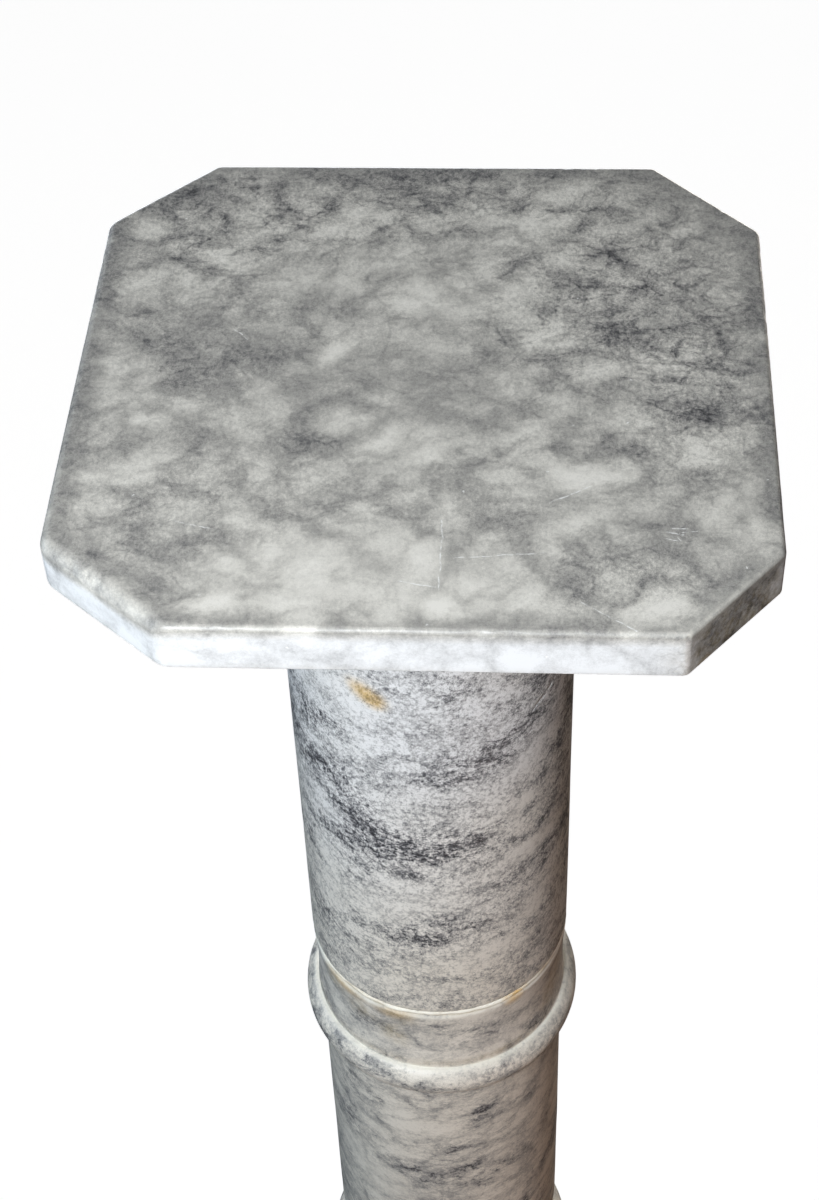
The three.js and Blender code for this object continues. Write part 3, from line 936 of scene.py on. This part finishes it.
class ColumnStudio(bpy.types.PropertyGroup):
    """Power of the studio's lamps."""

    key_power: power("Key", "Soft light from above the front left", 18.6)
    sky_power: power("Sky", "Cool light from the left", 4.0)
    fill_power: power("Fill", "Weak warm light from low on the right", 0.75)
    side_power: power("Side", "Soft light from behind on the right", 9.0)
    back_power: power("Back", "Soft light from behind", 19.0)
    top_power: power("Top", "Soft light from above, which also lights the floor", 5.6)


# Looks: where the block lies in the pattern, how it is stretched, and the weight of each part of the finish.
SLAB_LOOK = {
    "offset": (0.31, 0.12, 0.05), "tilt": (0.0, 0.0, 0.0),
    "stretch": (1.0, 1.15, 1.2), "grain_stretch": (1.0, 0.8, 1.0),
    "base": 0.295, "cloud": 0.26, "mottle": 0.40, "lumps": 0.24, "pillows": 0.22, "deepest": 0.56,
    "veins": 0.20, "web": 0.18, "net": 0.29, "pale_flecks": 0.03, "flecks": 0.14, "grain": 1.7,
    "relief": 0.14, "dark_patina": 0.95, "pits": 1.0,
    "scratch_width": 0.45 * MM, "scratch_depth": 0.6, "wear": 0.7, "gloss": 0.36,
}
PLINTH_LOOK = SLAB_LOOK | {"offset": (0.83, 0.47, 0.21), "pits": 0.5}
UPPER_LOOK = {
    "offset": (0.17, 0.63, 0.28), "tilt": (0.10, -0.14, 0.0),
    "stretch": (0.95, 0.95, 1.6), "grain_stretch": (1.0, 1.0, 1.0),
    "base": 0.065, "cloud": 0.26, "mottle": 0.40, "lumps": 0.26, "pillows": 0.14, "deepest": 0.45,
    "veins": 0.26, "web": 0.34, "net": 0.30, "pale_flecks": 0.24, "flecks": 0.36, "grain": 3.9,
    "relief": 1.0, "dark_patina": 0.5, "pits": 0.4,
    "scratch_width": 1.6 * MM, "scratch_depth": 3.2, "wear": 0.75, "gloss": 0.38,
}
SOFTER = {"flecks": 0.26, "pale_flecks": 0.08, "grain": 1.6, "relief": 0.28, "mottle": 0.62, "base": 0.12}
MIDDLE_LOOK = UPPER_LOOK | SOFTER | {"offset": (0.55, 0.21, 0.74), "tilt": (-0.06, 0.10, 0.3)}
LOWER_LOOK = UPPER_LOOK | SOFTER | {"offset": (0.91, 0.38, 0.46), "tilt": (0.08, 0.12, -0.4)}
MOULDING_LOOK = UPPER_LOOK | SOFTER | {"offset": (0.22, 0.81, 0.95), "tilt": (0.0, 0.06, 0.9)}


def slab_piece(node, material, sizes, outline, clouds_and_shading, chips=(), darkening=(), rubbed=()):
    """A slab from its outline, with worn upper edges and the masks of its clouds with painted light and
    shade, its wear with painted edge highlight, and its darkening.
    """
    low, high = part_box(node)
    rings, edge = slab_rings(outline, low.z, high.z, sizes.foot_ease)
    _, _, normals, _ = outline
    index = np.arange(len(rings))[:, None]
    first = edge - SLAB_EDGE_RINGS + 1
    near_edge = np.clip(1 - np.abs(index - (edge - SLAB_EDGE_RINGS // 2)) / SLAB_WORN_RINGS, 0, 1)
    near_edge = np.broadcast_to(near_edge, rings.shape[:2])
    side = np.clip((edge - index) / SLAB_UNEVEN_RINGS, 0, 1)
    nick = np.clip(layered_noise(rings, SLAB_NICKS) - 0.62, 0, 1)
    inward = np.minimum(side * layered_noise(rings, SLAB_UNEVEN), 0) - near_edge * nick * sizes.nick_depth
    inward[0] = 0
    rings[..., 2] -= 0.5 * near_edge * nick * sizes.nick_depth
    rings[..., :2] += normals * inward[..., None]
    rings = scooped(rings, chips, high.z)

    patchy = layered_noise(rings, SLAB_PATCHES)
    # The slab's upper edge is worn pale, and the same mask paints the bright line of its rounding as a
    # highlight.
    wear = near_edge * np.clip(0.07 + 0.32 * patchy, 0.02, 0.35)
    wear += near_edge * np.clip(flat_field(rings, rubbed) * (0.7 + 0.6 * patchy), 0, 1)
    # Darker towards the slab's foot.
    under = np.clip((low.z + DARKENED_FOOT - rings[..., 2]) / DARKENED_FOOT, 0, 1)
    wall = np.clip((first - index) / SLAB_FADE_RINGS, 0, 1)
    from_edge = np.minimum(edge - index, index - first)
    rounding = np.clip((from_edge + SLAB_FADE_RINGS) / SLAB_FADE_RINGS, 0, 1)
    cloud = flat_field(rings, clouds_and_shading)
    # Painted shade on the slab's right sides; below, it darkens the tone, adds veining and takes the grime
    # tint.
    darkened = wall * np.clip(flat_field(rings, darkening), 0, 1)
    veining = np.clip(0.3 + flat_field(rings, SLAB_VEINED) + 0.2 * cloud, 0.05, 1)
    masks = {
        # Sides paler, partly paler stone and partly painted light from the front; rounded upper edges darker,
        # painted shade that holds down their brightness; right sides darker with their painted shade.
        "cloud": cloud * (1 - 0.7 * wall) - 0.85 * wall + 0.9 * rounding + 0.9 * darkened,
        "veining": veining * (1 - 0.6 * wall) + 0.5 * darkened,
        "wear": np.clip(np.maximum(wear, 0.35 * nick * near_edge), 0, 1),
        "grime": 0.25 * under + darkened,
        "stain": np.zeros(rings.shape[:2]),
        "patina": np.broadcast_to(0.8 - 0.8 * wall, rings.shape[:2]),
    }
    return make_piece(node, rings, material, masks)


def drum_piece(node, material, sizes, profile, arris_levels, dirt_and_shade_levels, patches, seed):
    """A turned piece from its profile, with nicked arrises, dirt and painted shade in its creases, and its
    own patches.
    The wear on its arrises also paints their highlight.

    Arris and dirt-and-shade levels are pairs of a height and a width. Patches are lists of clouds, stains and
    dirt, some of the clouds and dirt painted shade."""
    rings, normals = turned(profile)
    height = rings[..., 2]
    reach = np.hypot(rings[..., 0], rings[..., 1]) / sizes.drum_radius
    outer = np.clip((reach - 0.8) / 0.1, 0, 1)
    arris = outer * sum(bump_at(height, level, width) for level, width in arris_levels)
    darkening = outer * sum(bump_at(height, level, width) for level, width in dirt_and_shade_levels)
    low, high = profile[0, 1], profile[-1, 1]
    rings = weathered(rings, normals, arris, sizes.nick_depth, seed)
    rings[..., 2] = np.clip(rings[..., 2], low, high)
    darkening = darkening * (0.6 + 0.6 * lattice_noise(rings, 20 * MM, seed + 31))
    cloud = round_field(rings, patches["clouds_and_shading"], sizes.drum_radius)
    darkened = round_field(rings, patches.get("darkening", ()), sizes.drum_radius, 0.4)
    stained = round_field(rings, patches.get("stains", ()), sizes.drum_radius, 0.25)
    yellowed = (PATINA_TOP - height) / PATINA_FADE + 0.4 * lattice_noise(rings, 60 * MM, seed + 37)
    masks = {
        "cloud": cloud,
        "veining": np.clip(0.44 + 0.95 * cloud, 0.16, 1.25),
        "wear": np.clip(arris, 0, 1),
        "grime": np.clip(darkening + darkened, 0, 1),
        "stain": np.clip(stained, 0, 1),
        "patina": np.clip(yellowed, 0, 1),
    }
    return make_piece(node, rings, material, masks)


class COLUMN_OT_top_slab(bpy.types.Operator):
    """Makes the clipped-corner slab at the head of the column."""

    bl_idname = "column.top_slab"
    bl_label = "Top slab"

    def execute(self, context):
        scene = context.scene
        _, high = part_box("top_slab")
        outline = clipped_outline(high.x, SLAB_CUTS, SLAB_ANGLE_RADII, SLAB_EDGE_RADII)
        pale_and_lit = [(*place, -strength) for *place, strength in SLAB_PALE_CLOUDS_AND_LIGHT]
        clouds_and_shading = [*SLAB_DARK_CLOUDS, *pale_and_lit]
        lines = [tuple((x * MM, y * MM) for x, y in line) for line in SLAB_SCRATCHES]
        finish = marble("Slab marble", scene.column_colours, SLAB_LOOK, lines)
        sizes = scene.column_sizes
        slab_piece("top_slab", finish, sizes, outline, clouds_and_shading, SLAB_CHIPS, SLAB_RIGHT_SHADE, SLAB_RUBBED)
        return {"FINISHED"}


class COLUMN_OT_drums(bpy.types.Operator):
    """Makes the plain upper drum and the two drums with collars."""

    bl_idname = "column.drums"
    bl_label = "Drums"

    def execute(self, context):
        sizes = context.scene.column_sizes
        colours = context.scene.column_colours
        low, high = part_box("upper_drum")
        radius = high.x
        scratch = [tuple((math.radians(turn) * radius, level * MM) for turn, level in DRUM_SCRATCH)]
        finish = marble("Upper drum marble", colours, UPPER_LOOK, scratch, radius)
        profile = upper_drum_profile(radius, low.z, high.z, UPPER_DRUM_EASE)
        arrises = ((low.z, 1.2 * MM),)
        # Dirt and painted shade along the drum's foot, over the joint.
        darkening = ((low.z, 2.5 * MM),)
        patches = {"clouds_and_shading": UPPER_DRUM_CLOUDS_AND_SHADE, "stains": UPPER_DRUM_STAINS}
        drum_piece("upper_drum", finish, sizes, profile, arrises, darkening, patches, 101)
        middle = {"clouds_and_shading": MIDDLE_DRUM_CLOUDS, "stains": MIDDLE_DRUM_STAINS, "darkening": MIDDLE_DRUM_DIRT_AND_SHADE}
        lower = {"clouds_and_shading": LOWER_DRUM_CLOUDS}
        collared = (
            ("middle_drum", sizes.collar_head, sizes.collar_foot, MIDDLE_LOOK, middle, 131),
            ("lower_drum", sizes.lower_collar, sizes.lower_collar, LOWER_LOOK, lower, 161),
        )
        for node, head_radius, foot_radius, look, patches, seed in collared:
            low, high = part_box(node)
            profile, ledge, crease = collared_profile(sizes, head_radius, foot_radius, low.z, high.z)
            # The wear on the collar's rounded head and on the ledge is also painted highlight: bright lines
            # of edges that face up.
            arrises = ((high.z - 0.75 * sizes.arris, 0.7 * sizes.arris), (ledge, 0.9 * MM), (low.z, 1.0 * MM))
            # Dirt and painted shade in the crease under the bead, painted shade on the band's foot by the
            # ledge, darkening at the foot, and a line of dirt under the mortar.
            darkening = (
                (crease - 1.0 * MM, 3.0 * MM), (ledge + 3.5 * MM, 2.6 * MM), (low.z, 2.0 * MM),
                (high.z - 1.6 * MM, 0.5 * MM),
            )
            finish = marble(node.replace("_", " ").capitalize() + " marble", colours, look)
            drum_piece(node, finish, sizes, profile, arrises, darkening, patches, seed)
        return {"FINISHED"}


class COLUMN_OT_mortar_beds(bpy.types.Operator):
    """Makes the mortar beds in the joints under the two upper drums, with what was squeezed out of them."""

    bl_idname = "column.mortar_beds"
    bl_label = "Mortar beds"

    def execute(self, context):
        finish = mortar_finish(context.scene.column_colours)
        for node, bulge, seed in MORTAR_BEDS:
            low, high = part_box(node)
            radius = high.x
            spill = low.z - MORTAR_SPILL
            half = 0.5 * (high.z - spill)
            centre = radius + bulge - half
            profile = joined(
                disc(low.z, HUB, radius - 3.4 * MM),
                [(radius - 1.6 * MM, low.z - 0.5 * MM)],
                arc((centre, spill + half), half, -80, 80, 14),
                disc(high.z, centre, HUB),
            )
            rings, normals = turned(profile)
            lumps = round_field(rings, [(a, high.z / MM, *rest) for a, _, *rest in MORTAR_LUMPS], radius)
            squeezed = layered_noise(rings, MORTAR_UNEVEN, seed)
            outer = np.clip((np.hypot(rings[..., 0], rings[..., 1]) - radius + 4 * MM) / (3 * MM), 0, 1)
            pushed = np.minimum(squeezed, bulge) + 0.7 * bulge * np.clip(lumps, 0, 1)
            rings[..., :2] += normals[..., :2] * (outer * pushed)[..., None]
            stains = [(a, high.z / MM, *rest) for a, _, *rest in MORTAR_STAINS]
            masks = {
                "stain": np.clip(round_field(rings, stains, radius, 0.25), 0, 1),
                "grime": outer * bump_at(rings[..., 2], low.z - 0.3 * MM, 0.5 * MM),
            }
            make_piece(node, rings, finish, masks)
        return {"FINISHED"}


class COLUMN_OT_base(bpy.types.Operator):
    """Makes the turned moulding and the plinth at the column's foot."""

    bl_idname = "column.base"
    bl_label = "Base"

    def execute(self, context):
        scene = context.scene
        sizes = scene.column_sizes
        low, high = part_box("base_moulding")
        profile = moulding_profile(sizes, low.z, high.z)
        torus_head = low.z + 2 * sizes.torus_radius
        arrises = ((torus_head + sizes.fillet_height, 1.2 * MM), (high.z, 1.2 * MM))
        # Darker at the moulding's foot, over the torus and at its head.
        darkening = ((low.z, 2.5 * MM), (torus_head, 1.6 * MM), (high.z, 2.0 * MM))
        finish = marble("Moulding marble", scene.column_colours, MOULDING_LOOK)
        drum_piece("base_moulding", finish, sizes, profile, arrises, darkening, {"clouds_and_shading": MOULDING_CLOUDS}, 231)
        _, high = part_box("plinth")
        outline = clipped_outline(high.x, PLINTH_CUTS, PLINTH_ANGLE_RADII, PLINTH_EDGE_RADII)
        finish = marble("Plinth marble", scene.column_colours, PLINTH_LOOK)
        slab_piece("plinth", finish, sizes, outline, PLINTH_CLOUDS)
        return {"FINISHED"}


def direction(azimuth, elevation):
    """Unit vector from the aim: azimuth from the front towards +X and elevation, both in degrees."""
    turn = math.radians(azimuth)
    rise = math.radians(elevation)
    return np.array([math.sin(turn) * math.cos(rise), -math.cos(turn) * math.cos(rise), math.sin(rise)])


def area_light(name, watts, size, colour, azimuth, elevation, distance, aim_height):
    """A square lamp at a distance from its aim on the column's axis, facing the aim."""
    back = direction(azimuth, elevation)
    data = bpy.data.lights.new(name, "AREA")
    data.size = size
    data.energy = watts
    data.color = colour
    lamp = bpy.data.objects.new(name, data)
    bpy.context.scene.collection.objects.link(lamp)
    lamp.matrix_world = facing(np.array([0.0, 0.0, aim_height]) + back * distance, back, 0.0)
    return lamp


def facing(place, back, roll):
    """A matrix at a place that looks against the back vector, with its right level and then rolled."""
    right = np.cross((0.0, 0.0, 1.0), back)
    right = right / np.linalg.norm(right) if np.linalg.norm(right) > 1e-6 else np.array([1.0, 0.0, 0.0])
    up = np.cross(back, right)
    side = math.cos(roll) * right + math.sin(roll) * up
    top = math.cos(roll) * up - math.sin(roll) * right
    columns = np.eye(4)
    columns[:3, 0] = side
    columns[:3, 1] = top
    columns[:3, 2] = back
    columns[:3, 3] = place
    return Matrix(columns.tolist())


def floor_finish():
    """A pale floor: plain matte paper that the camera sees a little lifted, so that it stays almost white."""
    material = bpy.data.materials.new("Floor paper")
    material.use_nodes = True
    tree = material.node_tree
    tree.nodes.clear()
    place = add_node(tree, "ShaderNodeTexCoord").outputs["Object"]
    fibre = fade(tree, noise(tree, place, 90, 3).outputs["Fac"], 0.3, 0.7, 0.88, 0.92)
    paper = add_node(tree, "ShaderNodeBsdfDiffuse", {"Color": fibre}).outputs[0]
    glow = add_node(tree, "ShaderNodeEmission", {"Color": WHITE, "Strength": 0.93}).outputs[0]
    seen = add_node(tree, "ShaderNodeAddShader", {0: paper, 1: glow}).outputs[0]
    dim = add_node(tree, "ShaderNodeBsdfDiffuse", {"Color": (0.4, 0.39, 0.38, 1.0)}).outputs[0]
    path = add_node(tree, "ShaderNodeLightPath").outputs["Is Camera Ray"]
    mix = add_node(tree, "ShaderNodeMixShader", {0: path, 1: dim, 2: seen}).outputs[0]
    add_node(tree, "ShaderNodeOutputMaterial", {"Surface": mix})
    return material


class COLUMN_OT_stage(bpy.types.Operator):
    """Makes the floor, the soft studio light and the camera."""

    bl_idname = "column.stage"
    bl_label = "Stage"

    def execute(self, context):
        scene = context.scene
        studio = scene.column_studio
        corners = [(x * FLOOR_REACH, y * FLOOR_REACH, 0) for x, y in ((-1, -1), (1, -1), (1, 1), (-1, 1))]
        mesh = bpy.data.meshes.new("floor")
        mesh.from_pydata(corners, [], [(0, 1, 2, 3)])
        mesh.materials.append(floor_finish())
        floor = bpy.data.objects.new("floor", mesh)
        scene.collection.objects.link(floor)
        floor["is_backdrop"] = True

        pieces = bpy.data.collections.new("column stone")
        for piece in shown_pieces():
            pieces.objects.link(piece)
        for name, settings in LAMPS.items():
            lamp = area_light(name, getattr(studio, name + "_power"), *settings)
            if name != "top":
                lamp.light_linking.receiver_collection = pieces

        world = bpy.data.worlds.new("studio")
        scene.world = world
        world.use_nodes = True
        tree = world.node_tree
        tree.nodes.clear()
        wall = add_node(tree, "ShaderNodeBackground", {"Color": WHITE, "Strength": 1.0}).outputs[0]
        haze = {"Color": (0.9, 0.95, 1.0, 1.0), "Strength": 0.02}
        air = add_node(tree, "ShaderNodeBackground", haze).outputs[0]
        path = add_node(tree, "ShaderNodeLightPath").outputs["Is Camera Ray"]
        mix = add_node(tree, "ShaderNodeMixShader", {0: path, 1: air, 2: wall}).outputs[0]
        add_node(tree, "ShaderNodeOutputWorld", {"Surface": mix})
        scene.view_settings.view_transform = "Standard"

        back = direction(CAMERA_AZIMUTH, CAMERA_ELEVATION)
        data = bpy.data.cameras.new("camera")
        data.sensor_width = SENSOR
        data.lens = FOCAL_PX / FRAME_HEIGHT_PX * SENSOR
        camera = bpy.data.objects.new("camera", data)
        scene.collection.objects.link(camera)
        place = np.array(CAMERA_TARGET) + back * CAMERA_DISTANCE
        camera.matrix_world = facing(place, back, math.radians(CAMERA_ROLL))
        scene.camera = camera
        return {"FINISHED"}


class COLUMN_PT_panel(bpy.types.Panel):
    """Lists the column's pieces, sizes, colours and lamps."""

    bl_idname = "COLUMN_PT_panel"
    bl_label = "Marble column"
    bl_space_type = "VIEW_3D"
    bl_region_type = "UI"
    bl_category = "Column"

    def draw(self, context):
        for operator in OPERATORS:
            self.layout.operator(operator.bl_idname)
        for group in (context.scene.column_sizes, context.scene.column_colours, context.scene.column_studio):
            box = self.layout.box()
            for name in group.__annotations__:
                box.prop(group, name)


OPERATORS = (COLUMN_OT_top_slab, COLUMN_OT_drums, COLUMN_OT_mortar_beds, COLUMN_OT_base, COLUMN_OT_stage)
CLASSES = (ColumnSizes, ColumnColours, ColumnStudio, *OPERATORS, COLUMN_PT_panel)


def register():
    """Makes the classes and the scene's settings known to Blender."""
    for kind in CLASSES:
        bpy.utils.register_class(kind)
    bpy.types.Scene.column_sizes = bpy.props.PointerProperty(type=ColumnSizes)
    bpy.types.Scene.column_colours = bpy.props.PointerProperty(type=ColumnColours)
    bpy.types.Scene.column_studio = bpy.props.PointerProperty(type=ColumnStudio)


def unregister():
    """Takes the settings and the classes away again."""
    del bpy.types.Scene.column_studio
    del bpy.types.Scene.column_colours
    del bpy.types.Scene.column_sizes
    for kind in reversed(CLASSES):
        bpy.utils.unregister_class(kind)


def main():
    """Builds the column and its stage."""
    register()
    bpy.ops.column.top_slab()
    bpy.ops.column.drums()
    bpy.ops.column.mortar_beds()
    bpy.ops.column.base()
    bpy.ops.column.stage()


if __name__ == "__main__":
    main()
